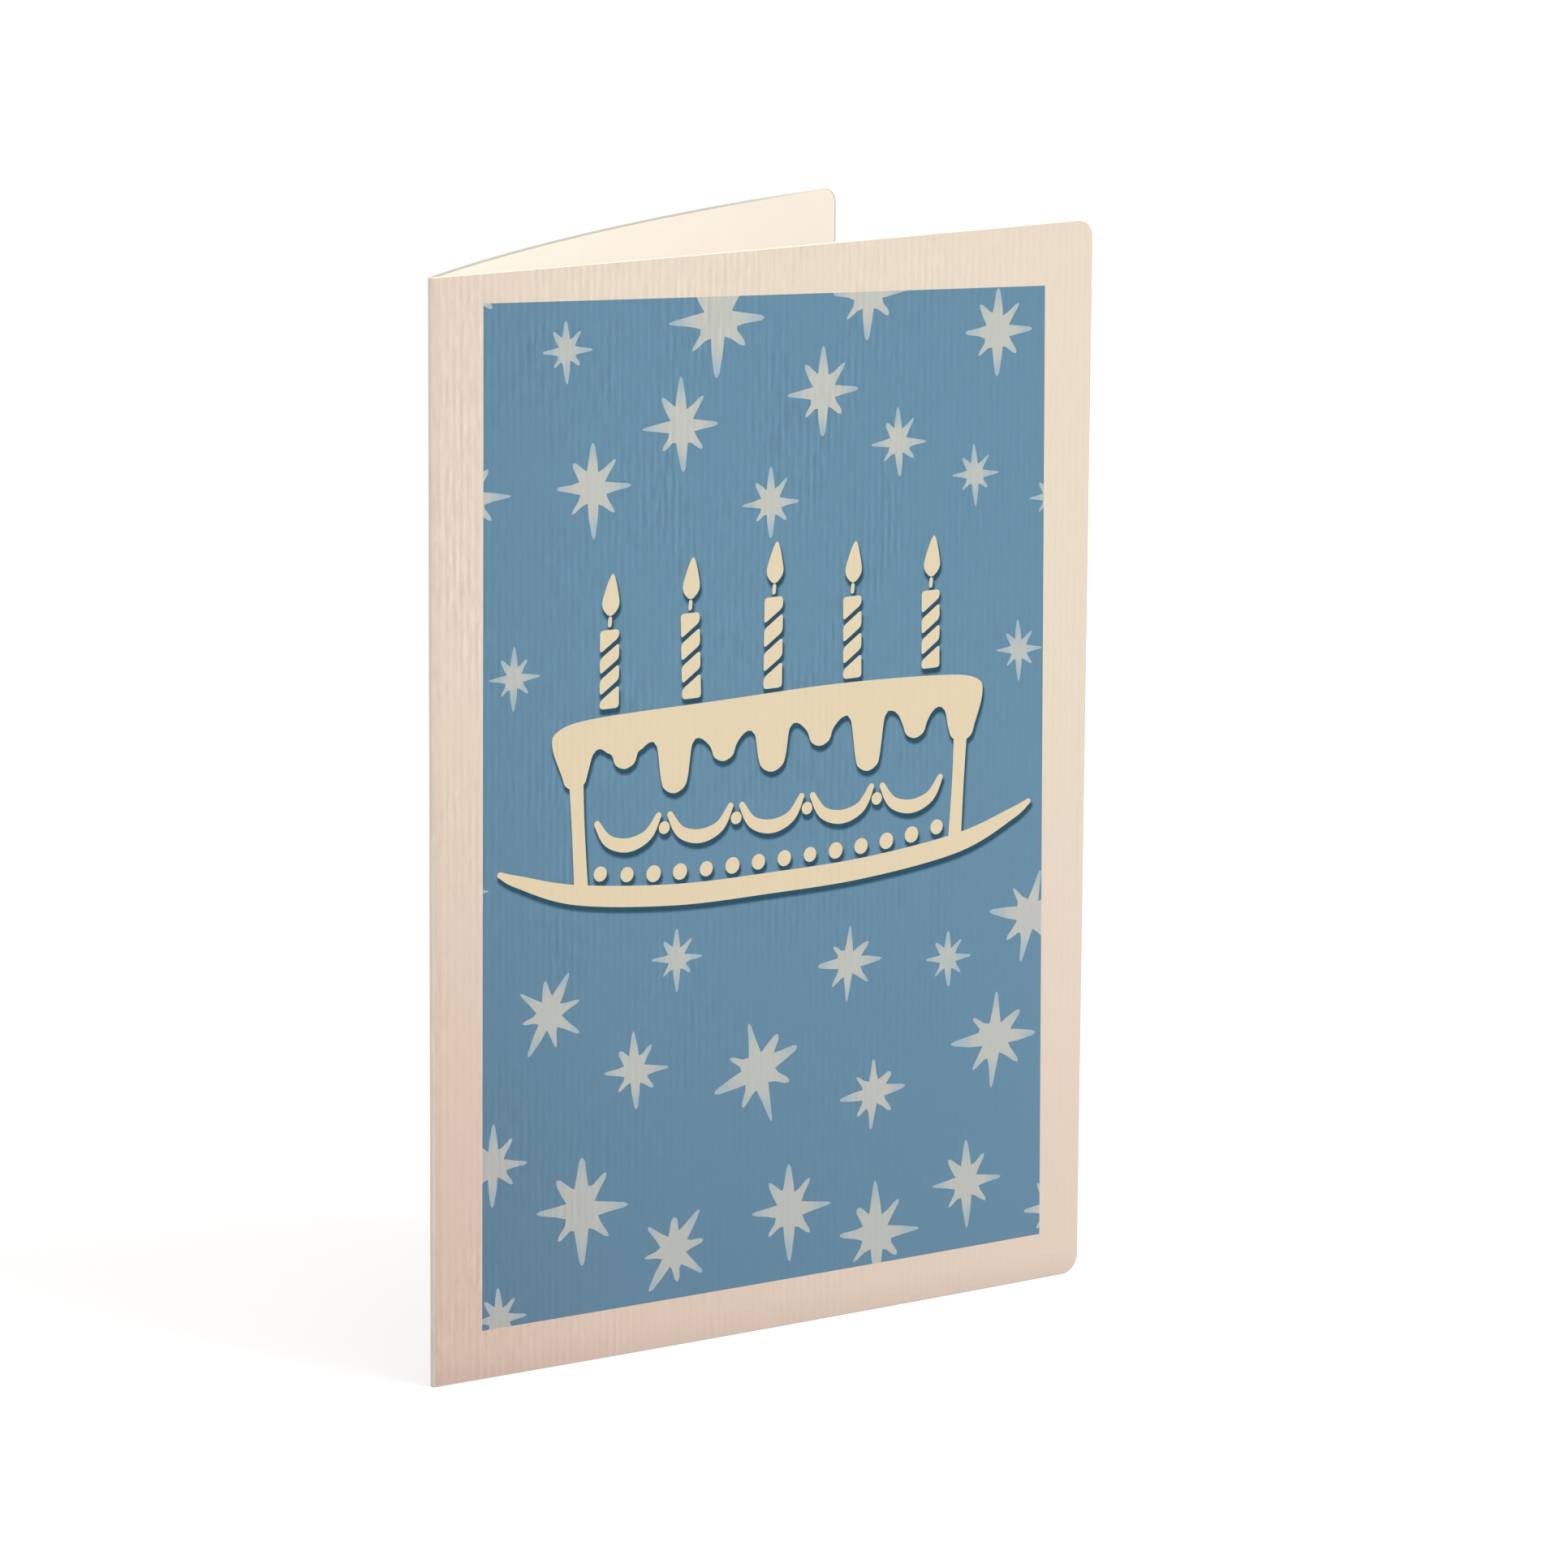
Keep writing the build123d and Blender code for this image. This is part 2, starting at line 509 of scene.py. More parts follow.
def splitFace(rim, lines, outlines):     # one side's points and triangles, what holds each, and its rim
    points, edges, owners = [Vector(point) for point in rim], [], [list(range(len(rim)))]
    headStart = len(stations) + 2 * foldedSheet["cornerSteps"]
    for index in range(len(stations)):
        edges.append((index, headStart + len(stations) - 1 - index))
    for isOwner, ring in [(False, line) for line in lines] + [(True, outline) for outline in outlines]:
        first = len(points)
        points += [Vector(point) for point in ring]
        indices = list(range(first, len(points)))
        if isOwner:
            owners.append(indices)
        else:
            edges += list(zip(indices, indices[1:] + indices[:1]))
    insideOnly = 1
    found = delaunay_2d_cdt(points, edges, owners, insideOnly, foldedSheet["mergeWithin"])
    flat = np.array([tuple(point) for point in found[0]])
    rimOf = {sources[0]: index for index, sources in enumerate(found[3]) if sources and sources[0] < len(rim)}
    return flat, found[2], [set(held) for held in found[5]], [rimOf[index] for index in range(len(rim))]


def addPoints(flat, depth, normals):     # gives back the number of the first one
    first = sum(len(part) for part in sheet["points"])
    sheet["points"].append(np.column_stack([flat, np.full(len(flat), depth)]))
    sheet["normals"].append(normals)
    return first


def addSide(flat, triangles, finishes, side):     # side is 1 for the cover's and -1 for the inside
    first = addPoints(flat, side * halfThickness, np.tile([0.0, 0.0, side], (len(flat), 1)))
    for triangle, finish in zip(triangles, finishes):
        corners = triangle[::side]
        isFront = flat[corners, 0].mean() > 0
        left, foot, scale = bakeLayout[("front" if isFront else "back") + ("Cover" if side > 0 else "Inside")]
        start = leafWidth if isFront == (side < 0) else 0
        sheet["faces"].append([first + corner for corner in corners])
        sheet["finishes"].append(finish)
        for u, v in flat[corners]:
            sheet["bakePlaces"].append((left + scale * (start + side * u), foot + scale * v))
    return first


def addCutEdge(rows):     # quads from each row of the rounded edge to the next
    left, foot, scale = bakeLayout["cutEdge"]
    loop = cutLoop(0)
    lengths = np.linalg.norm(np.roll(loop, -1, axis=0) - loop, axis=1)
    along = np.concatenate([[0], np.cumsum(lengths)])
    across = [bakeLayout["cutEdgeWidth"] * step / (len(rows) - 1) for step in range(len(rows))]
    for step, (row, nextRow) in enumerate(zip(rows, rows[1:])):
        for here in range(len(loop)):
            there = (here + 1) % len(loop)
            strip = int(2 * along[here] > along[-1])
            x = left + strip * (bakeLayout["cutEdgeWidth"] + bakeLayout["cutEdgeGap"])
            start, stop = foot + scale * (along[here:here + 2] - strip * along[-1] / 2)
            sheet["faces"].append([row[here], nextRow[here], nextRow[there], row[there]])
            sheet["finishes"].append("guillotinedEdge")
            sheet["bakePlaces"] += [(x + across[step], start), (x + across[step + 1], start)]
            sheet["bakePlaces"] += [(x + across[step + 1], stop), (x + across[step], stop)]


def foldedCard():
    rounding = foldedSheet["edgeRounding"]
    rim, outwards = cutLoop(rounding), cutLoop(0) - cutLoop(1)
    stars, cake = starOutlines(), cakeOutlines()

    print("card: splitting the printed side")
    printed = [np.array(blueField["corners"])] + stars + cake
    flat, triangles, holders, coverRim = splitFace(rim, shadowRings(cake) + starRings(), printed)
    firstCake = 2 + len(stars)      # of the outlines, 0 is the rim, 1 the blue field, and the stars are next
    finishes = []
    for held in holders:
        if 1 not in held:
            finishes.append("laidCardStock")
        elif max(held) >= firstCake:
            finishes.append("creamInk")
        else:
            finishes.append("paleStarInk" if max(held) > 1 else "blueOffsetInk")
    addSide(flat, triangles, finishes, 1)
    shade, inkFilm = shadowStrength(flat, cake), starFilm(flat)

    print("card: rounding the cut edge")
    rows = [coverRim]
    turns = np.linspace(0, math.pi / 2, foldedSheet["roundingSteps"] + 1)
    for side, turn in [(1, turn) for turn in turns[1:]] + [(-1, turn) for turn in turns[:0:-1]]:
        normals = np.column_stack([outwards * math.sin(turn), np.full(len(rim), side * math.cos(turn))])
        depth = side * (halfThickness - rounding * (1 - math.cos(turn)))
        first = addPoints(cutLoop(rounding * (1 - math.sin(turn))), depth, normals)
        rows.append(range(first, first + len(rim)))
    # the inner edge of the band of painted shade along the cut edge
    shadeBandEdge = counterClockwise(cutLoop(rounding + foldedSheet["shadeBandWidth"]))
    flat, triangles, holders, insideRim = splitFace(rim, [], [shadeBandEdge])
    finishes = ["smoothInnerStock" if 1 in held else "guillotinedEdge" for held in holders]
    first = addSide(flat, triangles, finishes, -1)
    addCutEdge(rows + [[first + index for index in insideRim]])

    points, normals = np.vstack(sheet["points"]), np.vstack(sheet["normals"])
    normals = foldDirections(points, normals)
    normals /= np.linalg.norm(normals, axis=1)[:, None]
    mesh = bpy.data.meshes.new("foldedCard")
    mesh.from_pydata(foldSheet(points).tolist(), [], sheet["faces"])
    mesh.attributes.new("sheetPlace", "FLOAT_VECTOR", "POINT").data.foreach_set("vector", points.ravel())
    for name, values in (("printShade", shade), ("inkFilm", inkFilm)):
        values = np.concatenate([values, np.zeros(len(points) - len(values))])
        mesh.attributes.new(name, "FLOAT", "POINT").data.foreach_set("value", values)
    mesh.uv_layers.new(name="OFBake").data.foreach_set("uv", np.array(sheet["bakePlaces"]).ravel())
    mesh.polygons.foreach_set("use_smooth", [True] * len(mesh.polygons))
    mesh.normals_split_custom_set_from_vertices(normals.tolist())
    card = bpy.data.objects.new("foldedCard", mesh)
    bpy.context.scene.collection.objects.link(card)
    print("card:", len(points), "points,", len(mesh.polygons), "faces")
    return card


# Materials. The sheet's own coordinates carry the laid lines, so they bend with it. Values given as From
# and To are a Map Range's limits, in mm along the sheet or as a noise's own level.

def linearColour(code):
    parts = [int(code[place:place + 2], 16) / 255 for place in (1, 3, 5)]
    return [part / 12.92 if part <= 0.04045 else ((part + 0.055) / 1.055) ** 2.4 for part in parts] + [1.0]


def addNode(tree, kind, settings, links):     # links: a socket's name or number to a value or another socket
    node = tree.nodes.new(kind)
    for name, value in settings.items():
        setattr(node, name, value)
    for name, value in links.items():
        if isinstance(value, bpy.types.NodeSocket):
            tree.links.new(value, node.inputs[name])
        else:
            node.inputs[name].default_value = value
    return node


laidPaper = {
    "gloss": {"IOR": 1.5, "Specular IOR Level": 0.25},       # bare fibres, with hardly any gloss
    "linePitch": 1.35,       # mm from one laid line to the next
    "lineSway": 1.8,         # radians of that pitch by which they stray from straight
    "swayStretch": 10.0,     # how many times longer than wide a stray is
    "lineDepth": 0.035,      # mm
    "plainLevel": 0.55,      # the sheet where no lines show, from 0 in a furrow to 1 on a ridge
    # painted shade in the furrows between the laid lines
    "furrowShade": "#E3E0DD",
    "fibre": (0.7, 4.5),     # mm, cell of the short streaks of fibre among the lines
    "fibreRamp": {"From Min": 0.28, "From Max": 0.72},
    "fibreShare": 0.55,
    "tooth": 0.22,           # mm, grain of the felt side
    "toothDepth": 0.1,       # as a share of that
    "toothStrength": 0.25,
}

pressedLines = {     # how clearly the lines show, where 1 is fully
    "onBack": {"From Min": -6.0, "From Max": 0.0, "To Min": 0.55},
    "fromForeEdge": {"From Min": 122.0, "From Max": 70.0, "To Min": 0.2},
    "patch": (10.0, 22.0),   # mm, cell of the places that are pressed more or less deeply
    "inPatches": {"From Min": 0.3, "From Max": 0.75, "To Min": 0.2},
    "towardsFold": {"From Min": 50.0, "From Max": 6.0, "To Min": 0.35},     # what is left at the foot
    "fromFoot": {"From Min": 0.0, "From Max": 110.0},
}

paintedShading = {     # painted shade: how far a tone has gone from its first colour to the one for the foot, low down and near the fold
    "downwards": {"From Min": 130.0, "From Max": -10.0},
    "outwards": {"From Max": leafWidth, "To Min": 0.78, "To Max": 0.34},
    "towardsFold": {"From Min": 40.0, "From Max": 0.0, "To Max": 0.23},
}


def sheetPlace(tree):     # the point's place on the flat sheet in mm, and that split in three
    place = addNode(tree, "ShaderNodeAttribute", {"attribute_name": "sheetPlace"}, {}).outputs["Vector"]
    return place, addNode(tree, "ShaderNodeSeparateXYZ", {}, {"Vector": place}).outputs


def pulpCloud(tree, place, cell, detail):     # uneven pulp, in cells of so many mm along u and v
    stretched = addNode(tree, "ShaderNodeVectorMath", {"operation": "DIVIDE"}, {0: place, 1: (*cell, 1)})
    return addNode(tree, "ShaderNodeTexNoise", {"noise_dimensions": "2D"}, {
        "Vector": stretched.outputs["Vector"], "Scale": 1.0, "Detail": detail,
    }).outputs["Fac"]


def pressedDepth(tree):     # less clear lines on the back, towards the fore edge and the foot, and in patches
    place, along = sheetPlace(tree)
    onBack = addNode(tree, "ShaderNodeMapRange", {}, {"Value": along["X"], **pressedLines["onBack"]})
    fromForeEdge = addNode(tree, "ShaderNodeMapRange", {"interpolation_type": "SMOOTHSTEP"}, {
        "Value": along["X"], "To Max": onBack.outputs["Result"], **pressedLines["fromForeEdge"],
    })
    inPatches = addNode(tree, "ShaderNodeMapRange", {}, {
        "Value": pulpCloud(tree, place, pressedLines["patch"], 1.0),
        "To Max": fromForeEdge.outputs["Result"], **pressedLines["inPatches"],
    })
    towardsFold = addNode(tree, "ShaderNodeMapRange", {"interpolation_type": "SMOOTHSTEP"}, {
        "Value": along["X"], **pressedLines["towardsFold"],
    })
    fromFoot = addNode(tree, "ShaderNodeMapRange", {"interpolation_type": "SMOOTHSTEP"}, {
        "Value": along["Y"], "To Min": towardsFold.outputs["Result"], **pressedLines["fromFoot"],
    })
    return addNode(tree, "ShaderNodeMath", {"operation": "MULTIPLY"}, {
        0: fromFoot.outputs["Result"], 1: inPatches.outputs["Result"],
    }).outputs[0]


def laidLines(tree):     # 0 in the furrow between two laid lines, 1 on a ridge
    place = sheetPlace(tree)[0]
    swayPlace = addNode(tree, "ShaderNodeVectorMath", {"operation": "DIVIDE"}, {
        0: place, 1: (1, laidPaper["swayStretch"], 1),
    })
    lines = addNode(tree, "ShaderNodeTexWave", {"bands_direction": "X"}, {
        "Vector": swayPlace.outputs["Vector"],
        "Scale": math.pi / (10 * laidPaper["linePitch"]),     # at scale 1 a wave is a tenth of pi long
        "Distortion": laidPaper["lineSway"], "Detail": 1.0, "Detail Scale": 1.0,
    })
    fibre = addNode(tree, "ShaderNodeMapRange", {}, {
        "Value": pulpCloud(tree, place, laidPaper["fibre"], 1.0), **laidPaper["fibreRamp"],
    })
    ridge = addNode(tree, "ShaderNodeMix", {}, {
        0: laidPaper["fibreShare"], 2: lines.outputs["Fac"], 3: fibre.outputs["Result"],
    })
    return addNode(tree, "ShaderNodeMix", {}, {
        0: pressedDepth(tree), 2: laidPaper["plainLevel"], 3: ridge.outputs[0],
    }).outputs[0]


def distanceFromFold(tree):     # mm
    along = sheetPlace(tree)[1]
    return addNode(tree, "ShaderNodeMath", {"operation": "ABSOLUTE"}, {0: along["X"]}).outputs[0]


def paintedShadeShare(tree):     # painted shade, as how much deeper the sheet looks: 0 near the head, 1 at the foot of the fold
    fromFold = distanceFromFold(tree)
    downwards = addNode(tree, "ShaderNodeMapRange", {"interpolation_type": "SMOOTHSTEP"}, {
        "Value": sheetPlace(tree)[1]["Y"], **paintedShading["downwards"],
    })
    outwards = addNode(tree, "ShaderNodeMapRange", {}, {"Value": fromFold, **paintedShading["outwards"]})
    towardsFold = addNode(tree, "ShaderNodeMapRange", {"interpolation_type": "SMOOTHSTEP"}, {
        "Value": fromFold, **paintedShading["towardsFold"],
    })
    return addNode(tree, "ShaderNodeMath", {"operation": "MULTIPLY_ADD"}, {
        0: downwards.outputs["Result"], 1: outwards.outputs["Result"], 2: towardsFold.outputs["Result"],
    }).outputs[0]


def newMaterial(name, roughness):
    material = bpy.data.materials.new(name)
    material.use_nodes = True
    shader = material.node_tree.nodes["Principled BSDF"]
    shader.inputs["Roughness"].default_value = roughness
    for socket, value in laidPaper["gloss"].items():
        shader.inputs[socket].default_value = value
    return material, material.node_tree, shader


def coverWithLines(tree, shader, colour, shown):     # the colour, with painted shade in the furrows, and their relief
    place, ridge = sheetPlace(tree)[0], laidLines(tree)
    furrow = addNode(tree, "ShaderNodeMix", {"data_type": "RGBA", "blend_type": "MULTIPLY"}, {
        0: shown, 6: colour, 7: linearColour(laidPaper["furrowShade"]),
    })
    lined = addNode(tree, "ShaderNodeMix", {"data_type": "RGBA"}, {0: ridge, 6: furrow.outputs[2], 7: colour})
    tree.links.new(lined.outputs[2], shader.inputs["Base Color"])
    tooth = addNode(tree, "ShaderNodeTexNoise", {}, {
        "Vector": place, "Scale": 1 / laidPaper["tooth"], "Detail": 1.0,
    })
    grain = addNode(tree, "ShaderNodeBump", {}, {
        "Strength": laidPaper["toothStrength"], "Distance": laidPaper["tooth"] * mm * laidPaper["toothDepth"],
        "Height": tooth.outputs["Fac"],
    })
    relief = addNode(tree, "ShaderNodeBump", {}, {
        "Strength": shown, "Distance": laidPaper["lineDepth"] * mm, "Height": ridge,
        "Normal": grain.outputs["Normal"],
    })
    tree.links.new(relief.outputs["Normal"], shader.inputs["Normal"])


bareStock = {
    "roughness": 0.9,
    "tone": "#F2E3D1",
    # painted shade: the colour the tone reaches at the foot of the fold
    "shadedAtFoot": "#DDC3B4",
    "glint": (0.45, 1.7),    # mm, cell of the short painted glints
    "glintRamp": {"From Min": 0.74, "From Max": 0.84},
    "glintLift": "#3E3B36",  # what a painted glint adds to the tone
    "footShadeReach": {"From Min": 5.5, "From Max": -1.0},
    "footShade": "#F4F2F5",  # painted shade along the foot
    "foldShadeReach": {"From Min": 1.7, "From Max": halfFold},
    "foldShade": "#F8F6F4",  # painted shade beside the fold
    "foldRound": {"From Min": halfFold, "From Max": halfFold / 2, "To Max": 0.68},
    "foldHighlight": "#FFF9EE",   # painted highlight on the fold's own round
    "linesShown": 0.85,
}


def laidCardStock():     # matt cream card pressed with laid lines: upright streaks, painted glints, painted shade and highlight, no gloss
    material, tree, shader = newMaterial("laidCardStock", bareStock["roughness"])
    place, along = sheetPlace(tree)
    tone = addNode(tree, "ShaderNodeMix", {"data_type": "RGBA"}, {
        0: paintedShadeShare(tree), 6: linearColour(bareStock["tone"]), 7: linearColour(bareStock["shadedAtFoot"]),
    })
    # painted glints on the ridges
    glint = addNode(tree, "ShaderNodeMapRange", {}, {
        "Value": pulpCloud(tree, place, bareStock["glint"], 0.0), "To Max": pressedDepth(tree),
        **bareStock["glintRamp"],
    })
    glinted = addNode(tree, "ShaderNodeMix", {"data_type": "RGBA", "blend_type": "ADD"}, {
        0: glint.outputs["Result"], 6: tone.outputs[2], 7: linearColour(bareStock["glintLift"]),
    })
    # painted shade along the foot
    alongFoot = addNode(tree, "ShaderNodeMapRange", {"interpolation_type": "SMOOTHSTEP"}, {
        "Value": along["Y"], **bareStock["footShadeReach"],
    })
    footShaded = addNode(tree, "ShaderNodeMix", {"data_type": "RGBA", "blend_type": "MULTIPLY"}, {
        0: alongFoot.outputs["Result"], 6: glinted.outputs[2], 7: linearColour(bareStock["footShade"]),
    })
    fromFold = distanceFromFold(tree)
    # painted shade beside the fold
    besideFold = addNode(tree, "ShaderNodeMapRange", {"interpolation_type": "SMOOTHSTEP"}, {
        "Value": fromFold, **bareStock["foldShadeReach"],
    })
    foldShaded = addNode(tree, "ShaderNodeMix", {"data_type": "RGBA", "blend_type": "MULTIPLY"}, {
        0: besideFold.outputs["Result"], 6: footShaded.outputs[2], 7: linearColour(bareStock["foldShade"]),
    })
    # painted highlight on the fold's own round
    onFold = addNode(tree, "ShaderNodeMapRange", {}, {"Value": fromFold, **bareStock["foldRound"]})
    foldLit = addNode(tree, "ShaderNodeMix", {"data_type": "RGBA"}, {
        0: onFold.outputs["Result"], 6: foldShaded.outputs[2], 7: linearColour(bareStock["foldHighlight"]),
    })
    coverWithLines(tree, shader, foldLit.outputs[2], bareStock["linesShown"])
    return material


blueInk = {
    "roughness": 0.8,
    "tone": "#6A94AE",
    # painted shade: the colour the tone reaches at the foot of the fold
    "shadedAtFoot": "#608097",
    "shadow": "#244F65",     # printed round the cake
    "linesShown": {"From Min": 20.0, "From Max": 110.0, "To Min": 0.7},     # less towards the foot
}


def blueOffsetInk():     # blue ink offset printed on the laid stock: matt, with painted shade in the furrows and low down
    material, tree, shader = newMaterial("blueOffsetInk", blueInk["roughness"])
    tone = addNode(tree, "ShaderNodeMix", {"data_type": "RGBA"}, {
        0: paintedShadeShare(tree), 6: linearColour(blueInk["tone"]), 7: linearColour(blueInk["shadedAtFoot"]),
    })
    shade = addNode(tree, "ShaderNodeAttribute", {"attribute_name": "printShade"}, {})
    shaded = addNode(tree, "ShaderNodeMix", {"data_type": "RGBA"}, {
        0: shade.outputs["Fac"], 6: tone.outputs[2], 7: linearColour(blueInk["shadow"]),
    })
    shown = addNode(tree, "ShaderNodeMapRange", {}, {
        "Value": sheetPlace(tree)[1]["Y"], **blueInk["linesShown"],
    })
    coverWithLines(tree, shader, shaded.outputs[2], shown.outputs["Result"])
    return material


starInk = {
    "roughness": 0.8,
    "tone": "#C7CAC2",
    # painted shade: the colour the tone reaches at the foot of the fold
    "shadedAtFoot": "#B4B5B4",
    "tip": "#A9BEC8",        # where the film is so thin that the blue shows through
    # painted shade: the colour the tips reach at the foot of the fold
    "tipShadedAtFoot": "#A3B4B9",
    "patch": (3.0, 4.0),     # mm, cell of the film's unevenness
    "patchShare": 0.25,
    "film": {"From Min": 0.22, "From Max": 0.72},
    "linesShown": 0.6,
}


def paleStarInk():     # thin grey white ink: warm and opaque in a star's middle, bluer towards its tips
    material, tree, shader = newMaterial("paleStarInk", starInk["roughness"])
    film = addNode(tree, "ShaderNodeAttribute", {"attribute_name": "inkFilm"}, {}).outputs["Fac"]
    uneven = addNode(tree, "ShaderNodeMath", {"operation": "MULTIPLY_ADD"}, {
        0: pulpCloud(tree, sheetPlace(tree)[0], starInk["patch"], 1.0), 1: starInk["patchShare"], 2: film,
    })
    covers = addNode(tree, "ShaderNodeMapRange", {"interpolation_type": "SMOOTHSTEP"}, {
        "Value": uneven.outputs[0], **starInk["film"],
    })
    ink = addNode(tree, "ShaderNodeMix", {"data_type": "RGBA"}, {
        0: paintedShadeShare(tree), 6: linearColour(starInk["tone"]), 7: linearColour(starInk["shadedAtFoot"]),
    })
    tips = addNode(tree, "ShaderNodeMix", {"data_type": "RGBA"}, {
        0: paintedShadeShare(tree), 6: linearColour(starInk["tip"]), 7: linearColour(starInk["tipShadedAtFoot"]),
    })
    inked = addNode(tree, "ShaderNodeMix", {"data_type": "RGBA"}, {
        0: covers.outputs["Result"], 6: tips.outputs[2], 7: ink.outputs[2],
    })
    coverWithLines(tree, shader, inked.outputs[2], starInk["linesShown"])
    return material


cakeInk = {
    "roughness": 0.75,
    "tone": "#E5D5B4",
    # painted shade: the colour the tone reaches at the foot of the fold
    "shadedAtFoot": "#E1CBA8",
    "linesShown": 0.2,
}


def creamInk():     # thick opaque cream ink that fills most of the laid lines: an even matt cream, with painted shade low down
    material, tree, shader = newMaterial("creamInk", cakeInk["roughness"])
    ink = addNode(tree, "ShaderNodeMix", {"data_type": "RGBA"}, {
        0: paintedShadeShare(tree), 6: linearColour(cakeInk["tone"]), 7: linearColour(cakeInk["shadedAtFoot"]),
    })
    coverWithLines(tree, shader, ink.outputs[2], cakeInk["linesShown"])
    return material


innerSide = {
    "roughness": 0.85,
    "tone": "#F8F3E7",
    "outerShade": "#F2E8DB",  # painted shade towards the fore edges
    "outwards": {"From Min": 20.0, "From Max": 130.0},
    "cloud": (11.0, 11.0),   # mm
    "cloudShare": 0.3,
    "linesShown": 0.1,
}


def smoothInnerStock():     # the wire side, pressed smooth: an even ivory, with painted shade outwards
    material, tree, shader = newMaterial("smoothInnerStock", innerSide["roughness"])
    outwards = addNode(tree, "ShaderNodeMapRange", {}, {
        "Value": distanceFromFold(tree), **innerSide["outwards"],
    })
    cloud = addNode(tree, "ShaderNodeMath", {"operation": "MULTIPLY_ADD"}, {
        0: pulpCloud(tree, sheetPlace(tree)[0], innerSide["cloud"], 1.0), 1: innerSide["cloudShare"],
        2: outwards.outputs["Result"],
    })
    tone = addNode(tree, "ShaderNodeMix", {"data_type": "RGBA"}, {
        0: cloud.outputs[0], 6: linearColour(innerSide["tone"]), 7: linearColour(innerSide["outerShade"]),
    })
    coverWithLines(tree, shader, tone.outputs[2], innerSide["linesShown"])
    return material


cutFibres = {
    "roughness": 0.95,
    "tone": "#DAC8B6",
    # painted highlight along the head
    "headHighlight": "#FBF2E3",
    # painted shade on the inner half of the cut edge and the band beside it
    "edgeShadeLine": "#A4A6A2",
    "head": {"From Min": leafHeight - 1.0, "From Max": leafHeight - 0.3},
    "back": {"From Min": -leafWidth, "From Max": -92.0, "To Min": 0.22, "To Max": 0.68},     # share of painted shade
    "foreEdge": {"From Min": 1.2 - leafWidth, "From Max": 0.2 - leafWidth, "To Max": 0.8},
    "innerHalf": {"From Min": 0.06, "From Max": -0.06},      # of the sheet's thickness
}


def guillotinedEdge():     # cut card fibres: a painted highlight along the head, duller elsewhere, and painted shade on the inner half and the band beside it
    material, tree, shader = newMaterial("guillotinedEdge", cutFibres["roughness"])
    along = sheetPlace(tree)[1]
    head = addNode(tree, "ShaderNodeMapRange", {}, {"Value": along["Y"], **cutFibres["head"]})
    back = addNode(tree, "ShaderNodeMapRange", {"interpolation_type": "SMOOTHSTEP"}, {
        "Value": along["X"], **cutFibres["back"],
    })
    foreEdge = addNode(tree, "ShaderNodeMapRange", {}, {"Value": along["X"], **cutFibres["foreEdge"]})
    edgeShadeShare = addNode(tree, "ShaderNodeMath", {"operation": "MAXIMUM"}, {
        0: back.outputs["Result"], 1: foreEdge.outputs["Result"],
    })
    innerHalfShade = addNode(tree, "ShaderNodeMapRange", {}, {
        "Value": along["Z"], "To Max": edgeShadeShare.outputs[0], **cutFibres["innerHalf"],
    })
    edgeLit = addNode(tree, "ShaderNodeMix", {"data_type": "RGBA"}, {
        0: head.outputs["Result"], 6: linearColour(cutFibres["tone"]), 7: linearColour(cutFibres["headHighlight"]),
    })
    fibres = addNode(tree, "ShaderNodeMix", {"data_type": "RGBA"}, {
        0: innerHalfShade.outputs["Result"], 6: edgeLit.outputs[2], 7: linearColour(cutFibres["edgeShadeLine"]),
    })
    tree.links.new(fibres.outputs[2], shader.inputs["Base Color"])
    return material


card = foldedCard()
print("materials")
finishes = [laidCardStock, blueOffsetInk, paleStarInk, creamInk, smoothInnerStock, guillotinedEdge]
for finish in finishes:
    card.data.materials.append(finish())
slots = {finish.__name__: number for number, finish in enumerate(finishes)}
card.data.polygons.foreach_set("material_index", [slots[name] for name in sheet["finishes"]])
card.data.validate()

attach(card, "root")
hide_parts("card")


# The studio: white floor, soft light from the upper right, and the camera at the photograph's angle.

studio = {
    "floorSize": 12.0,                   # metres
    "floorDrop": 0.05,                   # mm under the card, so that the two don't fight
    "floorPaint": "#C4C4C4",
    "floorGlow": 0.55,                   # what the camera sees is lifted to white
    "keyFrom": (0.55, -0.62, 0.56),      # the direction that the key light comes from
    "keySpread": 50.0,                   # degrees across, for soft shadows
    "keyStrength": 1.5,
    "skyLight": 0.85,                    # how strongly the white sky lights the card
    "skyTone": "#FFFFFF",
}

photoCamera = {
    "place": (-694.7, -1046.6, 353.1),   # mm
    "yaw": 34.40,                        # degrees turned right of +Y
    "pitch": 12.0,                       # degrees down
    "roll": 0.41,
    "focalPixels": 9646.0,               # focal length in the photograph's pixels
    "photoPixels": 1932,
    "sensor": 36.0,                      # mm
}


def seenDirectly(tree):     # 1 for what the camera sees, also by reflection or through glass
    rays = addNode(tree, "ShaderNodeLightPath", {}, {}).outputs
    first = addNode(tree, "ShaderNodeMath", {"operation": "MAXIMUM"}, {
        0: rays["Is Camera Ray"], 1: rays["Is Glossy Ray"],
    })
    return addNode(tree, "ShaderNodeMath", {"operation": "MAXIMUM"}, {
        0: first.outputs[0], 1: rays["Is Transmission Ray"],
    }).outputs[0]


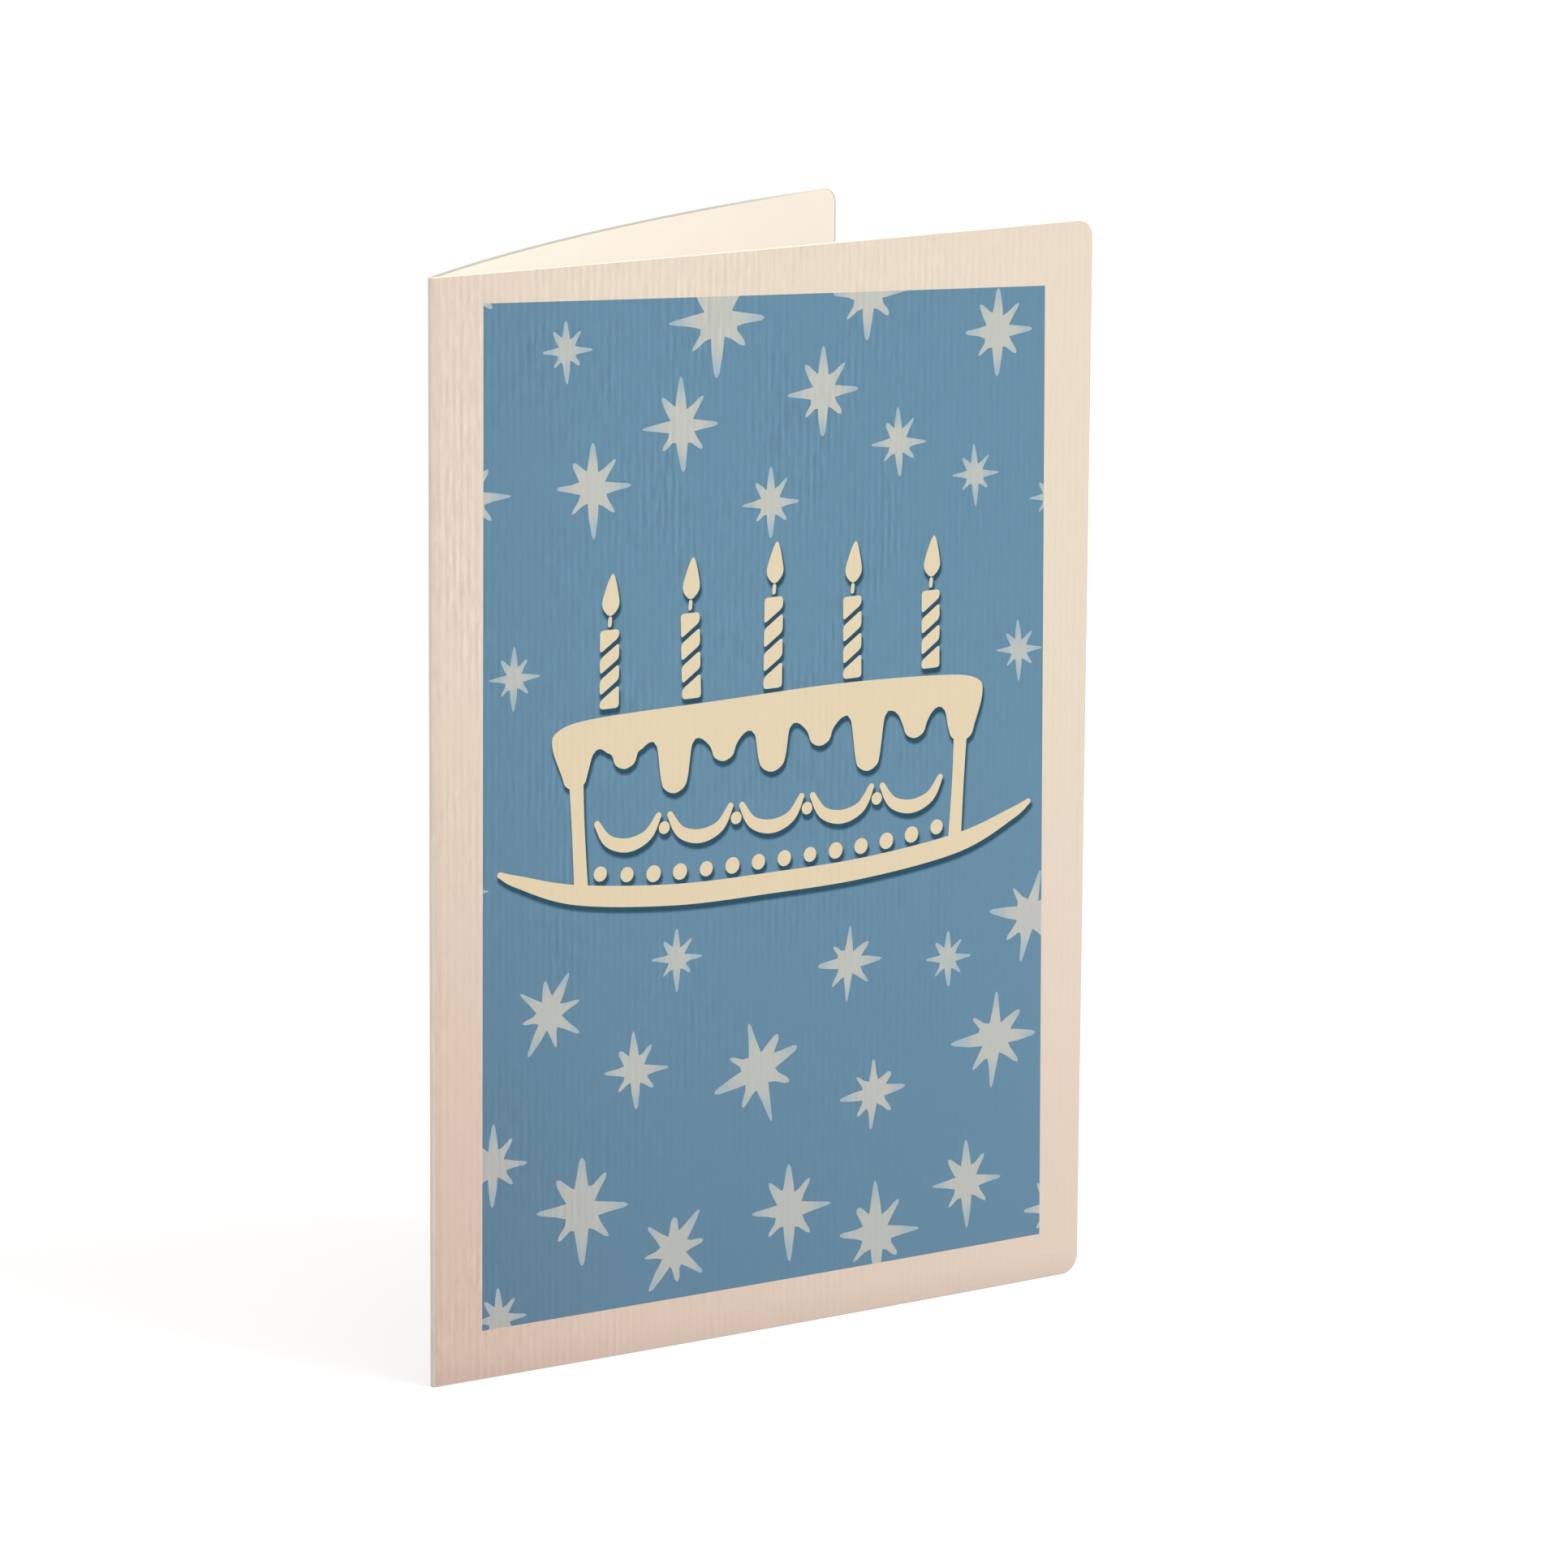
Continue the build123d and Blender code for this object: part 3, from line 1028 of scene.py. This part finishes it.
def addFloor():
    half = studio["floorSize"] / 2
    height = cadBounds[0][2] - studio["floorDrop"] * mm
    corners = [(x * half, y * half, height) for x, y in ((-1, -1), (1, -1), (1, 1), (-1, 1))]
    mesh = bpy.data.meshes.new("floor")
    mesh.from_pydata(corners, [], [range(4)])
    floor = bpy.data.objects.new("floor", mesh)
    bpy.context.scene.collection.objects.link(floor)
    material = bpy.data.materials.new("whiteCycloramaPaint")
    material.use_nodes = True
    tree = material.node_tree
    glow = addNode(tree, "ShaderNodeMath", {"operation": "MULTIPLY"}, {
        0: seenDirectly(tree), 1: studio["floorGlow"],
    })
    paint = addNode(tree, "ShaderNodeBsdfDiffuse", {}, {"Color": linearColour(studio["floorPaint"])})
    lift = addNode(tree, "ShaderNodeEmission", {}, {"Strength": glow.outputs[0]})
    both = addNode(tree, "ShaderNodeAddShader", {}, {0: paint.outputs[0], 1: lift.outputs[0]})
    tree.links.new(both.outputs[0], tree.nodes["Material Output"].inputs["Surface"])
    mesh.materials.append(material)


def addLight():
    lamp = bpy.data.lights.new("softbox", "SUN")
    lamp.angle = math.radians(studio["keySpread"])
    lamp.energy = studio["keyStrength"]
    softbox = bpy.data.objects.new("softbox", lamp)
    softbox.rotation_euler = Vector(studio["keyFrom"]).to_track_quat("Z", "Y").to_euler()
    bpy.context.scene.collection.objects.link(softbox)
    world = bpy.data.worlds.new("whiteStudio")
    world.use_nodes = True
    tree = world.node_tree
    strength = addNode(tree, "ShaderNodeMapRange", {}, {
        "Value": seenDirectly(tree), "To Min": studio["skyLight"],
    })
    tree.links.new(strength.outputs["Result"], tree.nodes["Background"].inputs["Strength"])
    tree.nodes["Background"].inputs["Color"].default_value = linearColour(studio["skyTone"])
    bpy.context.scene.world = world


def addCamera():
    yaw, pitch = math.radians(photoCamera["yaw"]), math.radians(photoCamera["pitch"])
    forward = Vector((math.sin(yaw) * math.cos(pitch), math.cos(yaw) * math.cos(pitch), -math.sin(pitch)))
    level = Vector((math.cos(yaw), -math.sin(yaw), 0))
    right = Matrix.Rotation(-math.radians(photoCamera["roll"]), 3, forward) @ level
    turned = Matrix((right, right.cross(forward), -forward)).transposed().to_4x4()
    lens = bpy.data.cameras.new("photoCamera")
    lens.sensor_width = photoCamera["sensor"]
    lens.lens = photoCamera["focalPixels"] / photoCamera["photoPixels"] * photoCamera["sensor"]
    camera = bpy.data.objects.new("photoCamera", lens)
    camera.matrix_world = Matrix.Translation(Vector(photoCamera["place"]) * mm) @ turned
    bpy.context.scene.collection.objects.link(camera)
    bpy.context.scene.camera = camera


print("studio")
addFloor()
addLight()
addCamera()
bpy.context.scene.view_settings.view_transform = "Standard"
